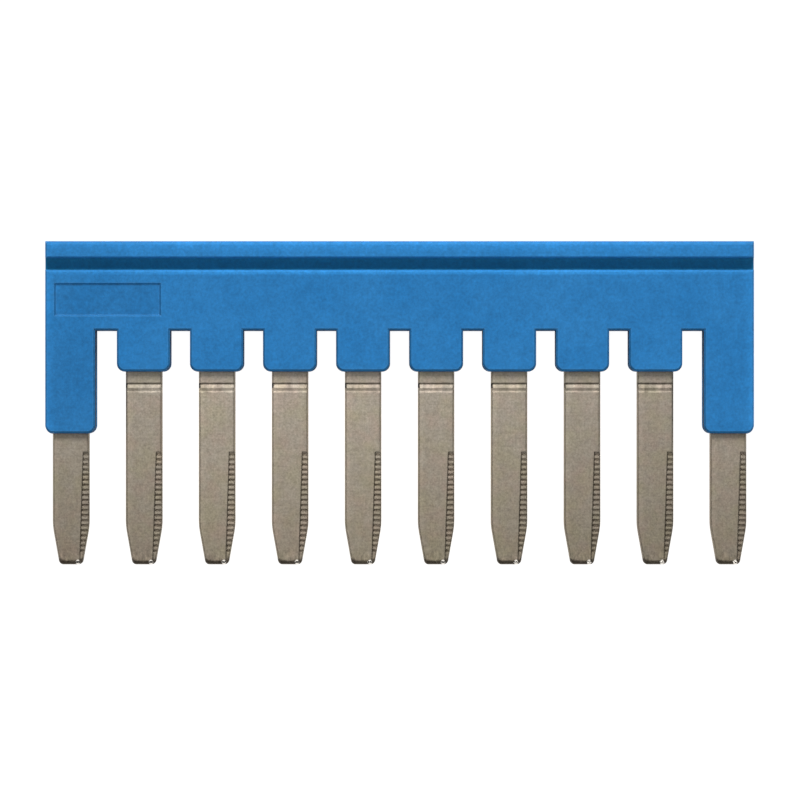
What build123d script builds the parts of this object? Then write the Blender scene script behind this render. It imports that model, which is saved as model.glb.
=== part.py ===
from build123d import *
import math
import os

# A plug-in jumper bar for rail-mounted terminal blocks, in millimetres.
# One stamped copper comb is pressed from below into one moulded housing.
# The bar lies on its rear face. X runs along the row of terminals, Y points
# from the blade tips to the grip lip, and Z is the thickness of the bar.

# The row of terminals that the bar bridges
pitch = 5.2
positions = 10

# Moulded housing, from the grip lip down
housing_thickness = 2.8
lip_height = 1.19
groove_height = 0.85
groove_depth = 0.8
web_height = 4.36
tooth_height = 2.9
leg_drop = 4.4
end_margin = 1.84
tooth_width = 3.9
foot_radius = 0.57
draft_angle = 3.0
edge_break = 0.12
lip_radius = 0.3
groove_lip_radius = 0.15
groove_root_radius = 0.1
groove_edge_radius = 0.2

# Shallow bare recess for a marking, on the front face beside one end
recess_length = 7.6
recess_height = 2.37
recess_depth = 0.12
recess_end_margin = 0.7
recess_groove_margin = 0.93
recess_wall_angle = 45.0

# Stamped comb: a busbar strip inside the housing, and one blade a terminal
sheet = 1.0
strip_height = 3.0
strip_roof = 0.86
strip_end_clearance = 0.04
strip_root_radius = 0.3
blade_width = 2.6
blade_reach = 13.7
taper_length = 2.74
tip_width = 1.62
shoulder_radius = 5.0
tip_corner_radius = 0.35
nose_radius = 0.32

# Edges rolled over by the stamping: across the face, and down the side
edge_roll = 0.1
edge_roll_depth = 0.2

# Snap-off line, two grooves coined across both faces of each blade: how far
# below the teeth each one starts, is deepest and ends, and its depth
snap_grooves = [(0.76, 0.88, 1.12, 0.065), (1.13, 1.34, 1.45, 0.03)]

# Serration coined along one edge of each face of a blade: flat-topped teeth in a
# sunk band, which starts at a steep flank and slopes down to the edge
notch_pitch = 0.361
notch_count = 20
notch_depth = 0.09
notch_land = 0.18
serration_start_above_tip = 8.01
serration_width = 0.45
serration_step = 0.05
serration_slope = 5.0
serration_flank = 50.0
serration_lean = 1.8

# Heights along Y that follow from the sizes above
overall_height = lip_height + groove_height + web_height + tooth_height + blade_reach
top_y = overall_height / 2
groove_top_y = top_y - lip_height
groove_bottom_y = groove_top_y - groove_height
slot_roof_y = groove_bottom_y - web_height
tooth_bottom_y = slot_roof_y - tooth_height
leg_bottom_y = tooth_bottom_y - leg_drop
strip_top_y = groove_bottom_y - strip_roof
strip_bottom_y = strip_top_y - strip_height
tip_y = tooth_bottom_y - blade_reach
shoulder_y = tip_y + taper_length

# Places along X and Z
row_length = (positions - 1) * pitch
blade_centres = [pitch * i - row_length / 2 for i in range(positions)]
housing_length = row_length + 2 * end_margin
strip_length = row_length + blade_width
mid_z = housing_thickness / 2
sheet_rear_z = mid_z - sheet / 2
sheet_front_z = mid_z + sheet / 2

# Longer than anything that a cut has to pass right through
through = housing_length + overall_height
tiny = 0.001

os.makedirs("parts", exist_ok=True)


def corners(sketch, x, y=None):
    """The corner points of a sketch that lie at x and, where it is given, at y."""
    found = [v for v in sketch.vertices() if abs(v.X - x) < tiny]
    return [v for v in found if y is None or abs(v.Y - y) < tiny]


# Housing: an outline with draft and broken edges, cut to the section of the moulding
with BuildPart() as insulating_housing:
    # One half, from the parting plane down to the rear face
    with BuildSketch(Plane.XY.offset(mid_z)):
        with Locations((0, slot_roof_y)):
            past_lip = top_y + lip_height - slot_roof_y
            Rectangle(housing_length, past_lip, align=(Align.CENTER, Align.MIN))
        with Locations(*[(x, slot_roof_y) for x in blade_centres[1:-1]]):
            Rectangle(tooth_width, tooth_height, align=(Align.CENTER, Align.MAX))
        with Locations((blade_centres[0], slot_roof_y), (blade_centres[-1], slot_roof_y)):
            Rectangle(2 * end_margin, slot_roof_y - leg_bottom_y, align=(Align.CENTER, Align.MAX))
    extrude(amount=-mid_z)
    draft([f for f in faces() if abs(f.normal_at().Z) < tiny], Plane.XY.offset(mid_z), -draft_angle)
    upright = edges().filter_by(lambda e: abs((e @ 0).Z - (e @ 1).Z) > tiny)
    leg_feet, tooth_feet = upright.group_by(Axis.Y)[:2]
    fillet(leg_feet + tooth_feet, foot_radius)
    chamfer(faces().sort_by(Axis.Z)[0].edges(), edge_break)
    mirror(about=Plane.XY.offset(mid_z))

    # Section: a grip lip above a groove in both faces
    with BuildSketch(Plane.YZ) as section:
        with Locations((top_y, mid_z)):
            Rectangle(through, housing_thickness, align=(Align.MAX, Align.CENTER))
        groove_mid_y = (groove_top_y + groove_bottom_y) / 2
        with Locations((groove_mid_y, 0), (groove_mid_y, housing_thickness)):
            Rectangle(groove_height, 2 * groove_depth, mode=Mode.SUBTRACT)
        front_root_z = housing_thickness - groove_depth
        for face_z, root_z in ((0, groove_depth), (housing_thickness, front_root_z)):
            fillet(corners(section, top_y, face_z), lip_radius)
            fillet(corners(section, groove_top_y, face_z), groove_lip_radius)
            fillet(corners(section, groove_bottom_y, face_z), groove_edge_radius)
            fillet(corners(section, groove_top_y, root_z), groove_root_radius)
            fillet(corners(section, groove_bottom_y, root_z), groove_root_radius)
    extrude(amount=through, both=True, mode=Mode.INTERSECT)

    # Slit from below that the comb is pressed into, closed at both ends
    with BuildSketch(Plane.XY.offset(sheet_rear_z)):
        with Locations((0, strip_top_y)):
            Rectangle(strip_length + 2 * strip_end_clearance, through, align=(Align.CENTER, Align.MAX))
    extrude(amount=sheet, mode=Mode.SUBTRACT)

    # Bare recess on the front face
    with BuildSketch(Plane.XY.offset(housing_thickness)):
        recess_x = recess_end_margin - housing_length / 2
        with Locations((recess_x, groove_bottom_y - recess_groove_margin)):
            Rectangle(recess_length, recess_height, align=(Align.MIN, Align.MAX))
    extrude(amount=-recess_depth, taper=recess_wall_angle, mode=Mode.SUBTRACT)

# Coining tool that cuts the serration: its teeth swept down the slope of the
# band, which leans towards the middle of the blade on its way to the tip
lean = math.radians(serration_lean)
slope = math.radians(serration_slope)
down_row = Vector(-math.sin(lean), -math.cos(lean), 0)
across = Vector(math.cos(lean), -math.sin(lean), 0)
down_slope = across * math.cos(slope) - Vector(0, 0, math.sin(slope))
row_x = blade_width / 2 - serration_width
row_start = Vector(row_x, tip_y + serration_start_above_tip, sheet_front_z)
row_end = serration_start_above_tip + sheet
teeth = [(0, serration_step)]
for i in range(notch_count):
    teeth += [
        (notch_pitch * i + notch_land / 2, serration_step),
        (notch_pitch * (i + 0.5), serration_step + notch_depth),
        (notch_pitch * (i + 1) - notch_land / 2, serration_step),
    ]
with BuildPart() as coining_tool:
    with BuildSketch(Plane(origin=row_start, x_dir=down_row, z_dir=down_slope)):
        Polygon(*teeth, (row_end, serration_step), (row_end, -sheet), (0, -sheet))
    extrude(amount=blade_width / 2, both=True)

    # Its steep inner flank, on the line where the band starts
    with BuildSketch(Plane(origin=row_start, x_dir=across, z_dir=down_row)):
        run = sheet / math.tan(math.radians(serration_flank))
        Polygon((-run, sheet), (run, -sheet), (blade_width, -sheet), (blade_width, sheet))
    extrude(amount=row_end, mode=Mode.INTERSECT)

# One blade, from the roof of the slots down to its coined nose
with BuildPart() as blade:
    half_blade = blade_width / 2
    half_tip = tip_width / 2
    with BuildSketch(Plane.XY.offset(sheet_rear_z)) as blade_outline:
        Polygon(
            (-half_blade, slot_roof_y),
            (-half_blade, shoulder_y),
            (-half_tip, tip_y),
            (half_tip, tip_y),
            (half_blade, shoulder_y),
            (half_blade, slot_roof_y),
        )
        for side in (-1, 1):
            fillet(corners(blade_outline, side * half_blade, shoulder_y), shoulder_radius)
            fillet(corners(blade_outline, side * half_tip, tip_y), tip_corner_radius)
    extrude(amount=sheet)
    for face in (faces().sort_by(Axis.Z)[0], faces().sort_by(Axis.Z)[-1]):
        rolled = [e for e in face.edges() if e.center().Y < slot_roof_y - tiny]
        chamfer(rolled, edge_roll, edge_roll_depth, reference=face)

    # Rounded nose in the thickness of the sheet
    with BuildSketch(Plane.YZ) as nose:
        with Locations((tip_y, mid_z)):
            Rectangle(slot_roof_y - tip_y, sheet, align=(Align.MIN, Align.CENTER))
        fillet(corners(nose, tip_y), nose_radius)
    extrude(amount=blade_width, both=True, mode=Mode.INTERSECT)

    # Snap-off grooves across both faces
    for start, deepest, end, depth in snap_grooves:
        with BuildSketch(Plane.YZ):
            Polygon(
                (tooth_bottom_y - start, sheet_front_z),
                (tooth_bottom_y - deepest, sheet_front_z - depth),
                (tooth_bottom_y - end, sheet_front_z),
            )
            mirror(about=Plane.XZ.offset(-mid_z))
        extrude(amount=blade_width, both=True, mode=Mode.SUBTRACT)

    # Serrations on the right of the front face and the left of the rear face
    add(coining_tool.part, mode=Mode.SUBTRACT)
    add(coining_tool.part.rotate(Axis((0, 0, mid_z), (0, 1, 0)), 180), mode=Mode.SUBTRACT)

# Comb: the busbar strip with a rounded root above each blade
with BuildPart() as contact_comb:
    with BuildSketch(Plane.XY.offset(sheet_rear_z)) as crown:
        with Locations((0, strip_top_y)):
            Rectangle(strip_length, strip_height, align=(Align.CENTER, Align.MAX))
        with Locations(*[(x, strip_bottom_y) for x in blade_centres]):
            Rectangle(blade_width, strip_bottom_y - slot_roof_y, align=(Align.CENTER, Align.MAX))
        roots = [v for v in crown.vertices() if abs(v.Y - strip_bottom_y) < tiny]
        fillet(roots, strip_root_radius)
    extrude(amount=sheet)
    with Locations(*[(x, 0) for x in blade_centres]):
        add(blade.part)

insulating_housing.part.label = "insulating_housing"
export_step(insulating_housing.part, "parts/insulating_housing.step")
contact_comb.part.label = "contact_comb"
export_step(contact_comb.part, "parts/contact_comb.step")
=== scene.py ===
# %% [markdown]
# # A plug-in jumper bar for terminal blocks
#
# The real object is a flat blue moulding with ten flat metal blades. It joins a
# row of terminal blocks on a rail. Its exact shapes come from a CAD frame, which
# is loaded here, so this script is about light, camera and surfaces.
# Blender works in metres, and the bar is only five centimetres long. Sizes are
# written in millimetres below, and turned into metres where Blender needs them.

import bpy
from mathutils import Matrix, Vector


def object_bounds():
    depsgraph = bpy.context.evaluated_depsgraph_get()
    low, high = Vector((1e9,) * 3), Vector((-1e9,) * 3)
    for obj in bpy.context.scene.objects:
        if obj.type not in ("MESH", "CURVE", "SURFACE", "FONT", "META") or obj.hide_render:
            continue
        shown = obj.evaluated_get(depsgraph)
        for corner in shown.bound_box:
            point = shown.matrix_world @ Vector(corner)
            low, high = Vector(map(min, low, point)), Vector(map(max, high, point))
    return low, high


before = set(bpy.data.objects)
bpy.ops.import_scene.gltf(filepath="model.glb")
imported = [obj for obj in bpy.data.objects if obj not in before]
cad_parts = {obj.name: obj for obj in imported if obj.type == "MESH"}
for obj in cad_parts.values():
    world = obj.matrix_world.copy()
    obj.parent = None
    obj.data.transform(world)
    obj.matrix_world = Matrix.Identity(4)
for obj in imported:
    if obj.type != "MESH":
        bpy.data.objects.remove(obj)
cad_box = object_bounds()
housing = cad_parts["insulating_housing"]
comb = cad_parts["contact_comb"]

MM = 0.001
low, high = cad_box
bar_size = (high - low) / MM
print("bar in mm:", [round(side, 2) for side in bar_size])

# %% [markdown]
# ## Helpers
#
# A colour picked from a picture is an sRGB value, with the brightness curve of
# a screen in it. Shaders count light, so they need linear values. One function
# turns a hex colour into linear numbers, and every colour goes through it.
# A second function adds a shader node: its settings are keyword arguments, and
# its inputs are given as a dictionary of values or of sockets to link.

# %% Colour and node helpers
def linear(hex_colour):
    """An sRGB hex colour such as "3181bf" as linear red, green, blue and alpha."""
    channels = [int(hex_colour[i:i + 2], 16) / 255 for i in (0, 2, 4)]
    curve = [c / 12.92 if c <= 0.04045 else ((c + 0.055) / 1.055) ** 2.4 for c in channels]
    return (*curve, 1.0)


def add(tree, kind, inputs=None, **settings):
    """Add a node, set its properties, then set or link each input that is named."""
    node = tree.nodes.new(kind)
    for name, value in settings.items():
        setattr(node, name, value)
    for name, value in (inputs or {}).items():
        if isinstance(value, bpy.types.NodeSocket):
            tree.links.new(value, node.inputs[name])
        else:
            node.inputs[name].default_value = value
    return node


print("a mid grey is", [round(c, 3) for c in linear("808080")[:3]])

# %% [markdown]
# ## Patterns in real millimetres
#
# Both materials use procedural patterns, which are formulas in space and need no
# picture and no unwrapping. The patterns read the object's own coordinates,
# multiplied by a thousand, so one unit of a pattern is one millimetre on the bar.
# A noise whose scale is one over a size has spots of about that size.
# Stretching the coordinates first turns round spots into streaks.

# %% Coordinates and noise in millimetres
def millimetres(tree, stretch=(1, 1, 1)):
    """Object coordinates in millimetres, each axis squeezed by its stretch."""
    place = add(tree, "ShaderNodeTexCoord")
    scale = [1 / MM / s for s in stretch]
    scaled = add(tree, "ShaderNodeMapping", {"Vector": place.outputs["Object"], "Scale": scale})
    return scaled.outputs["Vector"]


def axes(tree):
    """The x, y and z of the surface point, each a value in millimetres."""
    return add(tree, "ShaderNodeSeparateXYZ", {"Vector": millimetres(tree)}).outputs


def noise(tree, size_mm, detail=2.0, roughness=0.5, stretch=(1, 1, 1), seed=0.0):
    """A noise from 0 to 1 with spots of about size_mm. Its seed picks another slice."""
    made = add(
        tree,
        "ShaderNodeTexNoise",
        {
            "Vector": millimetres(tree, stretch),
            "W": seed,
            "Scale": 1 / size_mm,
            "Detail": detail,
            "Roughness": roughness,
        },
        noise_dimensions="4D",
    )
    return made.outputs["Fac"]


print("patterns are measured in millimetres")

# %% [markdown]
# ## Masks and tones
#
# A mask is a value from 0 to 1 that says where a mark is. Most marks here are
# places on the bar, such as the lip or a groove, so they come from x, y and z.
# Masks are multiplied to narrow them down, and then shade the colour or mix
# another one in. That keeps every mark of the real bar in its own few lines.

# %% Arithmetic on values
def remap(tree, value, from_low, from_high, to_low=0.0, to_high=1.0):
    """Stretch a range of a value onto another range, and hold it at the ends."""
    made = add(
        tree,
        "ShaderNodeMapRange",
        {
            "Value": value,
            "From Min": from_low,
            "From Max": from_high,
            "To Min": to_low,
            "To Max": to_high,
        },
    )
    return made.outputs["Result"]


def combine(tree, operation, first, second):
    """One arithmetic step on two values."""
    made = add(tree, "ShaderNodeMath", operation=operation)
    for i, value in enumerate((first, second)):
        if isinstance(value, bpy.types.NodeSocket):
            tree.links.new(value, made.inputs[i])
        else:
            made.inputs[i].default_value = value
    return made.outputs[0]


def times(tree, first, *others):
    """Several values multiplied together."""
    product = first
    for other in others:
        product = combine(tree, "MULTIPLY", product, other)
    return product


def between(tree, value, low_end, high_end, soft):
    """1 between two ends and 0 outside, with a soft step of that width at each."""
    rising = remap(tree, value, low_end, low_end + soft)
    falling = remap(tree, value, high_end, high_end - soft)
    return times(tree, rising, falling)


def mix_value(tree, amount, first, second):
    """The first value where the amount is 0 and the second where it is 1."""
    change = combine(tree, "SUBTRACT", second, first)
    return combine(tree, "ADD", times(tree, change, amount), first)


print("a mask is 1 inside its place and 0 outside")

# %% Changes to a colour
# Noise keeps near its middle, so these ends stretch it to almost the full range.
# The closer they are, the more of the noise is held at its darkest and lightest
wide_ends = (0.25, 0.75)
soft_ends = (0.3, 0.7)
sharp_ends = (0.35, 0.65)


def mix_colour(tree, amount, first, second, blend="MIX"):
    """Mix two colours, each a socket or a linear colour."""
    made = add(tree, "ShaderNodeMix", data_type="RGBA", blend_type=blend)
    for i, value in ((0, amount), (6, first), (7, second)):
        if isinstance(value, bpy.types.NodeSocket):
            tree.links.new(value, made.inputs[i])
        else:
            made.inputs[i].default_value = value
    return made.outputs[2]


def toned(tree, colour, tone):
    """A colour made lighter or darker by a factor."""
    grey = add(tree, "ShaderNodeCombineColor", {"Red": tone, "Green": tone, "Blue": tone})
    return mix_colour(tree, 1.0, colour, grey.outputs[0], "MULTIPLY")


def shaded(tree, colour, mask, tone):
    """A colour multiplied by the tone where the mask is 1, and kept where it is 0."""
    return toned(tree, colour, remap(tree, mask, 0, 1, 1, tone))


def speckled(tree, colour, pattern, amount, ends=wide_ends):
    """A colour made lighter and darker by up to the amount, as the pattern goes."""
    return toned(tree, colour, remap(tree, pattern, *ends, 1 - amount, 1 + amount))


def edge_mask(tree, radius_mm):
    """Near 1 on corners rounded by less than radius_mm, and 0 on flat faces."""
    rounded = add(tree, "ShaderNodeBevel", {"Radius": radius_mm * MM}, samples=6)
    true = add(tree, "ShaderNodeNewGeometry")
    likeness = add(tree, "ShaderNodeVectorMath", operation="DOT_PRODUCT")
    tree.links.new(rounded.outputs[0], likeness.inputs[0])
    tree.links.new(true.outputs["Normal"], likeness.inputs[1])
    # The cosine of the angle between the two normals: 6 degrees, and 32 on a corner
    flat, corner = 0.995, 0.85
    return remap(tree, likeness.outputs["Value"], flat, corner)


def new_material(name):
    """An empty material, and the tree that its nodes go into."""
    material = bpy.data.materials.new(name)
    material.use_nodes = True
    material.node_tree.nodes.clear()
    return material, material.node_tree


print("noise is stretched from", wide_ends, soft_ends, "or", sharp_ends)

# %% [markdown]
# ## Moulded polyamide
#
# The housing is polyamide 66, moulded in a steel tool whose walls were spark
# eroded. That leaves a fine even grain, so the blue looks matt and a little
# chalky instead of glossy. Its outer edges are a touch paler, as wear and as
# painted light.
# A flat blue would look like a drawing. The colour is instead mixed from three
# scales: broad clouds where the melt cooled, grain of a fraction of a millimetre,
# and pale edges. Painted light pales the lip, the ledge and the ends, and painted
# shade darkens the groove, the recess and the slots. The same grain drives the
# bump and the roughness.

# %% Places on the housing, in millimetres
housing_end = high.x / MM
lip_top = high.y / MM
front_face = high.z / MM
groove_top = lip_top - 1.19
groove_bottom = groove_top - 0.85
slot_roof = lip_top - 6.4
recess_span = (0.7 - housing_end, 8.3 - housing_end)
recess_rise = (lip_top - 5.34, lip_top - 2.97)
recess_floor = front_face - 0.12
leg_fade = (4.2 - housing_end, 3.4 - housing_end)
print("groove from", round(groove_bottom, 2), "to", round(groove_top, 2), "mm")

# %% Blue with clouds, grain, and painted shade in the recess and the groove
# The real grain is about 0.05 mm, and is drawn at 0.2 mm so that it shows
cloud_size = 3.2
mottle_size = 0.5
grain_size = 0.2
mottle_contrast = 0.11
grain_contrast = 0.17
recess_shade_tone = 0.9
# Masks reach a little past the places that they cover, and fade over a soft width
floor_band = (recess_floor - 0.05, recess_floor + 0.07)
groove_band = (groove_bottom - 0.1, groove_top + 0.1)
groove_sunk = (front_face - 0.2, front_face - 0.5)


def moulded_blue(tree, grain):
    """Two blues in broad clouds, with a mottle and the grain over them."""
    clouds = noise(tree, cloud_size, detail=3.0, seed=1.0)
    deep, light = linear("267abb"), linear("2e81c2")
    colour = mix_colour(tree, remap(tree, clouds, *soft_ends), deep, light)
    colour = speckled(tree, colour, grain, grain_contrast)
    mottle = noise(tree, mottle_size, seed=4.0)
    return speckled(tree, colour, mottle, mottle_contrast)


def recess_painted_shade(tree, colour, x, y, z):
    """Painted shade: the floor of the recess is darker."""
    on_floor = between(tree, z, *floor_band, soft=0.03)
    in_span = between(tree, x, *recess_span, soft=0.02)
    in_rise = between(tree, y, *recess_rise, soft=0.02)
    return shaded(tree, colour, times(tree, on_floor, in_span, in_rise), recess_shade_tone)


def groove_painted_shade(tree, colour, y, z):
    """Painted shade: the groove under the lip is a deeper, darker blue."""
    in_groove = between(tree, y, *groove_band, soft=0.1)
    sunk = remap(tree, z, *groove_sunk)
    return mix_colour(tree, times(tree, in_groove, sunk), colour, linear("c8ffe6"), "MULTIPLY")


print("grain of", grain_size, "mm on clouds of", cloud_size, "mm")

# %% [markdown]
# ### Painted light on the lip, the ledge and the ends
#
# The lip and the edge under its groove face the lamps, and are painted paler as
# the light that falls on them, most in the middle of the bar. Both ends are
# painted paler as well. The outer edges are paler in spots, as wear and as painted
# light on their rounding. Where two painted places meet, the stronger one counts,
# so that no line shows between them.

# %% Where painted light makes it paler
edge_spot_size = 0.7
edge_spot_share = (0.25, 0.65)
edge_radius = 0.16
lip_start = (groove_top - 0.1, groove_top + 0.1)
lip_edge = (lip_top - 0.8, lip_top - 0.3)
ledge = (groove_bottom - 0.4, groove_bottom + 0.1)
middle_light_fade = (housing_end - 10, housing_end - 3)
end_fade = (housing_end - 0.8, housing_end)
# How much painted light each place gets. The lip's edge adds 1 to the rest of the lip,
# so this mask goes past 1, and the full tone belongs to lit_most
lip_light = 0.4
ledge_light = 1.35
least_light = 0.45
end_light_at_lip = 0.2
lit_most = 1.5
painted_light_tone = 1.41


def painted_light_mask(tree, y, end_distance):
    """How much painted light the lip, the edge under its groove and both ends get."""
    lip = remap(tree, y, *lip_start, 0, lip_light)
    lip = combine(tree, "ADD", lip, remap(tree, y, *lip_edge))
    below_groove = between(tree, y, *ledge, soft=0.15)
    lit_amount = combine(tree, "MAXIMUM", lip, times(tree, below_groove, ledge_light))
    lit_amount = times(tree, lit_amount, remap(tree, end_distance, *middle_light_fade, 1, least_light))

    ends = remap(tree, end_distance, *end_fade)
    ends = times(tree, ends, remap(tree, y, groove_top, groove_bottom, end_light_at_lip, 1))
    return combine(tree, "MAXIMUM", lit_amount, ends)


def edge_wear_and_light(tree, colour):
    """The outer edges are paler in spots, as wear and as painted light on their rounding."""
    spots = noise(tree, edge_spot_size, seed=3.0)
    spots = remap(tree, spots, *soft_ends, *edge_spot_share)
    wear_and_light = times(tree, edge_mask(tree, edge_radius), spots)
    return mix_colour(tree, wear_and_light, colour, linear("5f9fd0"))


# The lip is painted fully lit up to this distance from the middle of the bar
print("fully gripped up to", round(middle_light_fade[0], 1), "mm from the middle")

# %% [markdown]
# ### A darker leg and shaded slots
#
# One leg is a little darker. The walls and the roof of each slot between the
# teeth are painted darker, as the shade that falls between the teeth, while the
# open faces stay pale. A wall is known by its normal, which lies level.

# %% Darker leg and painted shade in the slots
leg_tone = 0.89
slot_shade_tone = 0.45
leg_start = (slot_roof + 1.5, slot_roof - 1.5)
roof_band = (slot_roof - 0.5, slot_roof + 0.5)
end_face_fade = (housing_end - 0.3, housing_end - 0.6)
# Parts of the normal: a wall has little of it upright, a side wall much of it sideways
upright_part = (0.8, 0.55)
sideways_part = (0.4, 0.6)


def darker_leg(tree, colour, x, y):
    """The leg beside the recess is a little darker."""
    on_leg = remap(tree, x, *leg_fade)
    below_roof = remap(tree, y, *leg_start)
    return shaded(tree, colour, times(tree, on_leg, below_roof), leg_tone)


def slot_painted_shade(tree, colour, y, end_distance):
    """Painted shade: the side walls and the roof of each slot between the teeth are darker."""
    normal = add(tree, "ShaderNodeNewGeometry").outputs["Normal"]
    facing = add(tree, "ShaderNodeSeparateXYZ", {"Vector": normal}).outputs
    steep = remap(tree, combine(tree, "ABSOLUTE", facing["Z"], 0), *upright_part)
    sideways = remap(tree, combine(tree, "ABSOLUTE", facing["X"], 0), *sideways_part)
    at_roof = between(tree, y, *roof_band, soft=0.3)
    inner = remap(tree, end_distance, *end_face_fade)
    in_slot = times(tree, steep, combine(tree, "MAXIMUM", sideways, at_roof), inner)
    return shaded(tree, colour, in_slot, slot_shade_tone)


print("slots end at", round(slot_roof, 2), "mm")

# %% [markdown]
# ### The plastic put together
#
# Each function above takes a colour and gives it back with one more mark, so the
# marks are laid one over another, broad ones first. Polyamide has a refractive
# index of 1.53. The spark-eroded grain breaks up its mirror reflection, so the
# specular level is far below the usual half.

# %% Blue polyamide 66
polyamide_index = 1.53
grainy_specular = 0.15
grainy_roughness = (0.62, 0.76)
grain_depth = 0.03
bump_strength = 0.4


def polyamide_material():
    """Blue polyamide with its grain and moulding marks, edge wear, and painted light and shade
    on its lip, ends, edges, groove, recess and slots.
    """
    material, tree = new_material("polyamide_66_moulded_spark_eroded")
    x, y, z = axes(tree)
    end_distance = combine(tree, "ABSOLUTE", x, 0)
    grain = noise(tree, grain_size, roughness=0.65, seed=2.0)
    colour = moulded_blue(tree, grain)
    # Painted shade darkens the floor of the recess
    colour = recess_painted_shade(tree, colour, x, y, z)
    # Painted light pales the lip, the ledge and the ends
    lit_amount = painted_light_mask(tree, y, end_distance)
    colour = toned(tree, colour, remap(tree, lit_amount, 0, lit_most, 1, painted_light_tone))
    # Painted shade deepens the blue in the groove
    colour = groove_painted_shade(tree, colour, y, z)
    colour = darker_leg(tree, colour, x, y)
    # Edge wear, with painted light on the rounded edges
    colour = edge_wear_and_light(tree, colour)
    # Painted shade in the slots
    colour = slot_painted_shade(tree, colour, y, end_distance)
    bump = add(
        tree,
        "ShaderNodeBump",
        {"Strength": bump_strength, "Distance": grain_depth * MM, "Height": grain},
    )
    surface = add(
        tree,
        "ShaderNodeBsdfPrincipled",
        {
            "Base Color": colour,
            "Roughness": remap(tree, grain, *soft_ends, *grainy_roughness),
            "IOR": polyamide_index,
            "Specular IOR Level": grainy_specular,
            "Normal": bump.outputs["Normal"],
        },
    )
    add(tree, "ShaderNodeOutputMaterial", {"Surface": surface.outputs["BSDF"]})
    return material


polyamide = polyamide_material()
print("made", polyamide.name, "with", len(polyamide.node_tree.nodes), "nodes")

# %% [markdown]
# ## Tin-plated copper
#
# The comb is stamped from copper strip and plated with matt tin. Tin is a grey
# metal with a warm tinge here, because the copper shows through a thin layer and
# the plating has aged. The strip was rolled, which leaves faint lines along it,
# and the plating bath leaves specks and soft patches.
# A metal has no colour of its own beyond its reflection, so metallic is 1 and the
# base colour is how much of each colour it throws back. Painted shade darkens the
# coined grooves and browns them, with a mask of how enclosed each point is.

# %% Places on the blades, in millimetres
pitch = 5.2
blade_tip = low.y / MM
tooth_bottom = blade_tip + 13.7
serration_top = blade_tip + 8.01
sheet_front = front_face / 2 + 0.5
snap_span = (tooth_bottom - 1.5, tooth_bottom - 0.7)
print("blades from", round(blade_tip, 2), "to", round(tooth_bottom, 2), "mm")

# %% Grey of the plating, blade by blade
# The seed only picks which blades come out darker
plating_seed = 3917
patch_size = 0.9
pinkish_size = 1.3
olive_size = 1.6
tinge_ends = (0.45, 0.65)
pinkish_most = 0.45
olive_most = 0.35
blade_contrast = 0.12
# From the middle of a blade towards its left edge and towards its right one
lit_left_edge = (-0.75, -1.0)
shaded_right_edge = (1.0, 1.2)
left_light_tone = 1.09
right_shade_tone = 0.9


def plated_grey(tree, patches):
    """Soft patches of the plating, some pinkish and some olive."""
    dark, light = linear("a69c8d"), linear("bab1a4")
    colour = mix_colour(tree, remap(tree, patches, *soft_ends), dark, light)
    pinkish = remap(tree, noise(tree, pinkish_size, seed=15.0), *tinge_ends, 0, pinkish_most)
    colour = mix_colour(tree, pinkish, colour, linear("b7a396"))
    olive = remap(tree, noise(tree, olive_size, seed=16.0), *tinge_ends, 0, olive_most)
    return mix_colour(tree, olive, colour, linear("aea88a"))


def blade_places(tree, x):
    """A random value for each blade, and the distance from the blade's middle."""
    number = combine(tree, "FLOOR", combine(tree, "DIVIDE", x, pitch), 0)
    seeded = combine(tree, "ADD", number, plating_seed)
    chance = add(tree, "ShaderNodeTexWhiteNoise", {"W": seeded}, noise_dimensions="1D")
    middle = times(tree, combine(tree, "ADD", number, 0.5), pitch)
    return chance.outputs["Value"], combine(tree, "SUBTRACT", x, middle)


def blade_tones(tree, colour, y, from_middle, chance):
    """The tone of each blade, with painted shade towards its tip, painted light on its left
    edge and painted shade on its right.
    """
    # No two blades took the plating alike
    colour = speckled(tree, colour, chance, blade_contrast, ends=(0, 1))

    # Painted shade: towards the tips the blades are darker and browner
    tipward_shade = remap(tree, y, tooth_bottom, blade_tip)
    colour = mix_colour(tree, tipward_shade, colour, linear("dbd9d3"), "MULTIPLY")

    # Painted light brightens the left edge of each blade, and painted shade dulls its right
    # edge
    colour = shaded(tree, colour, remap(tree, from_middle, *lit_left_edge), left_light_tone)
    return shaded(tree, colour, remap(tree, from_middle, *shaded_right_edge), right_shade_tone)


print("patches of", patch_size, "mm")

# %% [markdown]
# ### Rolling, crystals and painted shade
#
# Rolling left lines along the blades, and there are faint marks across them. Both
# are noises stretched into streaks. Matt tin consists of crystals, which make the
# surface sparkle finely instead of mirroring.
# Deep in the notches the tin is painted darker and browner, as shade.
# Ambient occlusion measures how enclosed a point is, so it finds those places.

# %% Rolling lines, crystals and painted shade in the notches
# The real crystals are far finer than 0.14 mm, and are drawn so that they show
line_size = 0.09
mark_size = 0.12
crystal_size = 0.14
line_stretch = (1, 30, 1)
mark_stretch = (25, 1, 1)
line_contrast = 0.035
crystal_contrast = 0.28
shelter_distance = 0.25
# Occlusion is 1 in the open, and sinks as a point gets more enclosed
sheltered = (0.91, 0.5)
notch_shade_most = 0.62
notch_shade_fade = (serration_top, serration_top - 1.2)


def tin_texture(tree, colour, lines, pores):
    """Rolling lines, cross marks and crystals, each as its pattern goes."""
    colour = speckled(tree, colour, lines, line_contrast, ends=soft_ends)
    marks = noise(tree, mark_size, detail=1.0, stretch=mark_stretch, seed=14.0)
    colour = speckled(tree, colour, marks, line_contrast, ends=soft_ends)
    return speckled(tree, colour, pores, crystal_contrast)


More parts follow.
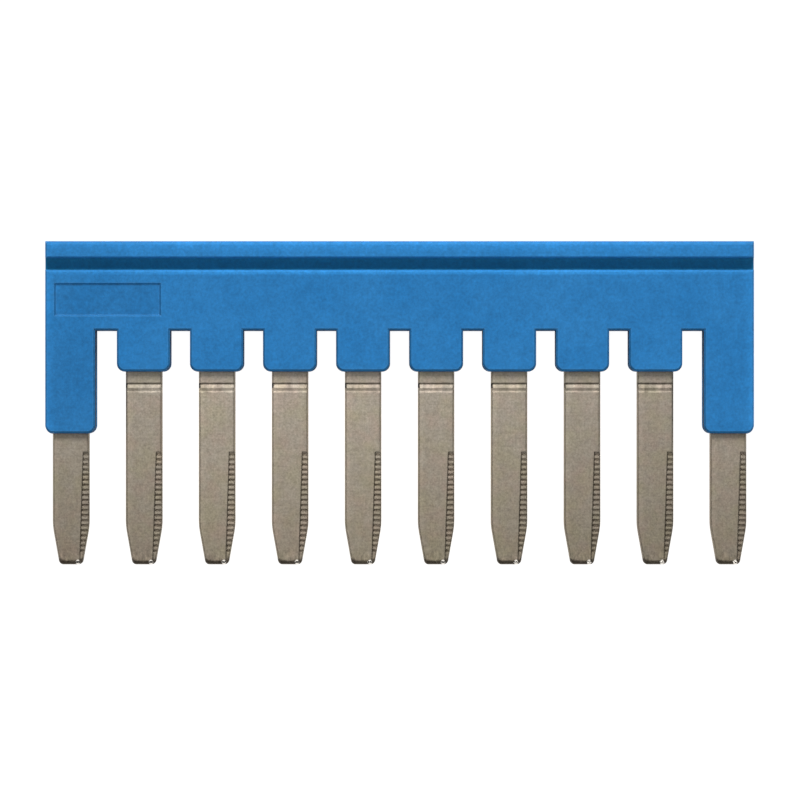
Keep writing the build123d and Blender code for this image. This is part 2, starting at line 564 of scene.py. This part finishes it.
def notch_painted_shade(tree, colour, y):
    """Painted shade in the coined grooves, darker and browner, and less in the first ones below
    the teeth.
    """
    distance = {"Distance": shelter_distance * MM}
    shelter = add(tree, "ShaderNodeAmbientOcclusion", distance, samples=8)
    notch_shade = remap(tree, shelter.outputs["AO"], *sheltered, 0, notch_shade_most)
    fainter_near_teeth = remap(tree, y, *notch_shade_fade, 0.5, 1)
    return mix_colour(tree, times(tree, notch_shade, fainter_near_teeth), colour, linear("6b6157"))


print("crystals of", crystal_size, "mm")

# %% [markdown]
# ### Coined places
#
# Two grooves across the root of each blade let it be snapped off, and a row of
# notches runs down one edge. The flat tops between the notches are painted
# brighter, as a highlight. A small burr at the left end of the first groove casts
# a painted shadow, on some blades more than on others.

# %% Marks of the coining die
# The serration's flat tops lie just under the face of the blade, right of its middle
land_depth = (sheet_front - 0.11, sheet_front - 0.04)
band_start = (0.6, 0.8)
row_span = (blade_tip + 0.7, serration_top)
land_highlight_tone = 1.14
# Heights of the marks below the teeth, and how far left of the middle the burr is
root_fade = (tooth_bottom - 0.9, tooth_bottom - 0.7)
step_span = (tooth_bottom - 0.9, tooth_bottom - 0.74)
burr_span = (tooth_bottom - 1.15, tooth_bottom - 0.78)
burr_end = (-1.12, -1.2)
root_shade_tone = 0.93
step_shade_tone = 0.75
wave_size = 0.45
wave_tones = (0.82, 1.25)


def land_painted_highlight(tree, colour, y, z, from_middle):
    """Painted highlight: the flat tops between the notches are brighter."""
    sunk = between(tree, z, *land_depth, soft=0.01)
    in_band = remap(tree, from_middle, *band_start)
    in_row = between(tree, y, *row_span, soft=0.1)
    return shaded(tree, colour, times(tree, sunk, in_band, in_row), land_highlight_tone)


def snap_off_grooves(tree, colour, y, from_middle, chance):
    """Painted shade at the root and on the first groove's step, painted light and shade in
    patches on both grooves, and a painted burr shadow.
    """
    # The root is painted darker as shade under the teeth, and the first groove's step as
    # painted shade
    colour = shaded(tree, colour, remap(tree, y, *root_fade), root_shade_tone)
    colour = shaded(tree, colour, between(tree, y, *step_span, soft=0.03), step_shade_tone)

    # The grooves catch the light unevenly
    waves = noise(tree, wave_size, detail=1.0, stretch=(1, 3, 1), seed=17.0)
    waves = remap(tree, waves, *sharp_ends, *wave_tones)
    in_snap = between(tree, y, *snap_span, soft=0.05)
    colour = toned(tree, colour, mix_value(tree, in_snap, 1.0, waves))

    # The burr casts a dark spot
    burr = between(tree, y, *burr_span, soft=0.04)
    left_end = remap(tree, from_middle, *burr_end)
    burred = remap(tree, chance, 0.2, 0.5, 0.1, 0.9)
    return mix_colour(tree, times(tree, burr, left_end, burred), colour, linear("181410"))


print("snap-off grooves from", [round(end, 2) for end in snap_span], "mm")

# %% [markdown]
# ### Tips that were plugged in
#
# The tips slide into spring contacts, which scratched them lengthwise. The nose
# is painted dark, as shade on its rounded rim, and its right corner carries a
# painted glint. The shade's height is measured from the tip. The crystals are
# added to that height, which makes its rim ragged.

# %% Marks at the tip of each blade
scratch_size = 0.18
scratch_tones = (0.74, 1.26)
scratch_fade = (blade_tip + 1.4, blade_tip + 0.5)
# Heights above the tip at which the painted shade on the nose ends and is full
nose_shade_fade = (0.42, 0.26)
nose_shade_raggedness = 0.2
nose_shade_corner_rise = 0.3
nose_shade_strength = 0.72
glint_corner = (0.5, blade_tip + 0.17)
# The painted glint fades between these squared distances, about 0.16 mm away
glint_fade = (0.034, 0.02)


def tip_scratches(tree, colour, y):
    """Lengthwise scratches on the last millimetre."""
    scratches = noise(tree, scratch_size, roughness=0.6, stretch=(1, 2.5, 1), seed=18.0)
    scratches = remap(tree, scratches, *sharp_ends, *scratch_tones)
    at_tip = remap(tree, y, *scratch_fade)
    return toned(tree, colour, mix_value(tree, at_tip, 1.0, scratches))


def nose_painted_shade(tree, colour, y, from_middle, pores):
    """Painted shade on the nose, ragged like the crystals and higher at its corners."""
    height = combine(tree, "SUBTRACT", y, blade_tip)
    height = combine(tree, "ADD", height, times(tree, pores, nose_shade_raggedness))
    rise = times(tree, combine(tree, "POWER", from_middle, 2), nose_shade_corner_rise)
    height = combine(tree, "SUBTRACT", height, rise)
    nose_shade = remap(tree, height, *nose_shade_fade)
    return mix_colour(tree, times(tree, nose_shade, nose_shade_strength), colour, linear("3d352e"))


def painted_glint_mask(tree, y, from_middle):
    """Where the painted glint sits: a round spot on the right corner of the nose."""
    across = combine(tree, "SUBTRACT", from_middle, glint_corner[0])
    along = combine(tree, "SUBTRACT", y, glint_corner[1])
    squares = [combine(tree, "POWER", side, 2) for side in (across, along)]
    return remap(tree, combine(tree, "ADD", *squares), *glint_fade)


print("bright spot at", [round(side, 2) for side in glint_corner], "mm")

# %% [markdown]
# ### The metal put together
#
# The marks are laid over the plating one after another, as on the plastic. The
# crystals and the rolling lines are a bump as well. Stamping and coining rounded
# even the smallest edges, which are sharp in the shape. So the bump starts from a
# normal that is smoothed over them.

# %% Matt tin on copper strip
tin_roughness = (0.55, 0.62)
glint_roughness_share = 0.35
line_share = 0.4
crystal_depth = 0.012
soft_edge_radius = 0.09


def tin_material():
    """Matt tin with its patches, its coined and rolled marks, and painted light and shade on
    its notches, edges, roots, lands and tips.
    """
    material, tree = new_material("copper_strip_matt_tin_plated")
    x, y, z = axes(tree)
    chance, from_middle = blade_places(tree, x)
    patches = noise(tree, patch_size, detail=3.0, roughness=0.6, seed=11.0)
    lines = noise(tree, line_size, stretch=line_stretch, seed=12.0)
    pores = noise(tree, crystal_size, detail=3.0, roughness=0.7, seed=13.0)
    colour = plated_grey(tree, patches)
    # Painted shade towards the tips and on the right edges, painted light on the left edges
    colour = blade_tones(tree, colour, y, from_middle, chance)
    colour = tin_texture(tree, colour, lines, pores)
    # Painted shade in the notches
    colour = notch_painted_shade(tree, colour, y)
    # Painted highlight on the flat tops of the serration
    colour = land_painted_highlight(tree, colour, y, z, from_middle)
    # Painted shade at the roots, and painted light and shade on the snap-off grooves
    colour = snap_off_grooves(tree, colour, y, from_middle, chance)
    colour = tip_scratches(tree, colour, y)
    # Painted shade on the nose
    colour = nose_painted_shade(tree, colour, y, from_middle, pores)
    # Painted glint at the right corner of each nose, which is also smoother
    glint_spot = painted_glint_mask(tree, y, from_middle)
    colour = mix_colour(tree, glint_spot, colour, linear("f2ece2"))
    roughness = remap(tree, patches, *soft_ends, *tin_roughness)
    roughness = times(tree, roughness, remap(tree, glint_spot, 0, 1, 1, glint_roughness_share))

    soft_edge = add(tree, "ShaderNodeBevel", {"Radius": soft_edge_radius * MM}, samples=8)
    bump = add(
        tree,
        "ShaderNodeBump",
        {
            "Strength": bump_strength,
            "Distance": crystal_depth * MM,
            "Height": combine(tree, "ADD", pores, times(tree, lines, line_share)),
            "Normal": soft_edge.outputs["Normal"],
        },
    )
    surface = add(
        tree,
        "ShaderNodeBsdfPrincipled",
        {
            "Base Color": colour,
            "Metallic": 1.0,
            "Roughness": roughness,
            "Normal": bump.outputs["Normal"],
        },
    )
    add(tree, "ShaderNodeOutputMaterial", {"Surface": surface.outputs["BSDF"]})
    return material


tin = tin_material()
print("made", tin.name, "with", len(tin.node_tree.nodes), "nodes")

# %% [markdown]
# ## Dressing the two pieces
#
# Each CAD node keeps its exact shape and gets one material. The housing is moulded
# in one plastic and the comb is plated all over, so no face needs another slot.

# %% Put the materials on the CAD nodes
housing.material_slots[0].material = polyamide
comb.material_slots[0].material = tin
for node, material in ((housing, polyamide), (comb, tin)):
    print(node.name, "wears", material.name)

# %% [markdown]
# ## Floor
#
# The bar lies on a white table. The table is lit brightly enough to come out as
# plain white, which is how such catalogue pictures are taken. The metal mirrors it
# along its edges, but it throws no diffuse light back on the bar.

# %% White table
# The table is a fiftieth of a millimetre under the bar, so that no faces coincide
floor_size = 3.0
floor_gap = 0.02
floor_glow = 0.9
floor_z = low.z - floor_gap * MM
bpy.ops.mesh.primitive_plane_add(size=floor_size, location=(0, 0, floor_z))
table = bpy.context.object
table.name = "white_table"
paper, paper_tree = new_material("white_paper_matt")
paper_surface = add(
    paper_tree,
    "ShaderNodeBsdfPrincipled",
    {
        "Base Color": linear("f4f4f4"),
        "Roughness": 0.9,
        "Emission Color": linear("ffffff"),
        "Emission Strength": floor_glow,
    },
)
add(paper_tree, "ShaderNodeOutputMaterial", {"Surface": paper_surface.outputs["BSDF"]})
table.data.materials.append(paper)
table.visible_diffuse = False
print("table at", round(table.location.z / MM, 3), "mm")

# %% [markdown]
# ## Light
#
# The picture shows where the lamps stood. The lip shades the groove under it and
# both walls of each slot are dark, so the blue plastic is lit from beyond the lip
# and hardly from the sides, and a weak fill keeps the feet from going black. The
# matt metal shows soft panels: one overhead, and one leaning beyond the lip, which
# the teeth keep off the top of each blade.
# The blade tips carry a small glint at their lower right, from a small lamp there and from a
# glint painted into the metal's colour.
# Area lamps are used, because their size sets how soft a shadow is. Light linking
# lets a lamp light one piece only, as a photographer does with small screens.

# %% Lamps
def lamp(name, direction, distance, width, power, only=None):
    """A square area lamp that far away in that direction, turned to the bar."""
    data = bpy.data.lights.new(name, "AREA")
    data.shape = "SQUARE"
    data.size = width
    data.energy = power
    made = bpy.data.objects.new(name, data)
    bpy.context.scene.collection.objects.link(made)
    towards = Vector(direction).normalized()
    made.location = towards * distance
    made.rotation_euler = towards.to_track_quat("Z", "Y").to_euler()
    if only:
        screened = bpy.data.collections.new(name + "_lights_only")
        screened.objects.link(only)
        made.light_linking.receiver_collection = screened
    return made


lamps = [
    lamp("key_beyond_the_lip", (0.04, 0.85, 0.62), 0.8, 0.30, 6.1, only=housing),
    lamp("fill_before_the_feet", (0.0, -0.75, 0.66), 0.8, 0.40, 1.2, only=housing),
    lamp("panel_beyond_the_lip", (0.0, 0.53, 0.85), 0.9, 0.32, 3.9, only=comb),
    lamp("panel_overhead", (0.0, -0.05, 1.0), 0.9, 0.6, 1.6),
    lamp("tip_glint", (0.1, -0.83, 0.56), 0.5, 0.06, 0.08, only=comb),
]
studio_strength = 0.045
world = bpy.data.worlds.new("dim_studio")
bpy.context.scene.world = world
world.use_nodes = True
background = world.node_tree.nodes["Background"]
background.inputs["Color"].default_value = linear("ffffff")
background.inputs["Strength"].default_value = studio_strength
for each in lamps:
    print(each.name, "at", [round(c, 2) for c in each.location], "m")

# %% [markdown]
# ## Camera
#
# The photograph looks straight down on the bar from far away, so both walls of a
# slot look the same. A long lens at a third of a metre gives that. Its picture
# is 57 mm wide at the bar's front face.

# %% Camera straight above
picture_width = 56.81
camera_distance = 360.0
sensor = 36.0
aim = (0.03, 0.21)
camera_data = bpy.data.cameras.new("long_lens")
camera_data.sensor_width = sensor
camera_data.lens = sensor * camera_distance / picture_width
camera_data.clip_start = 0.01
camera = bpy.data.objects.new("camera", camera_data)
bpy.context.scene.collection.objects.link(camera)
camera.location = (aim[0] * MM, aim[1] * MM, high.z + camera_distance * MM)
bpy.context.scene.camera = camera
bpy.context.scene.view_settings.view_transform = "Standard"
print("lens", round(camera_data.lens, 1), "mm")
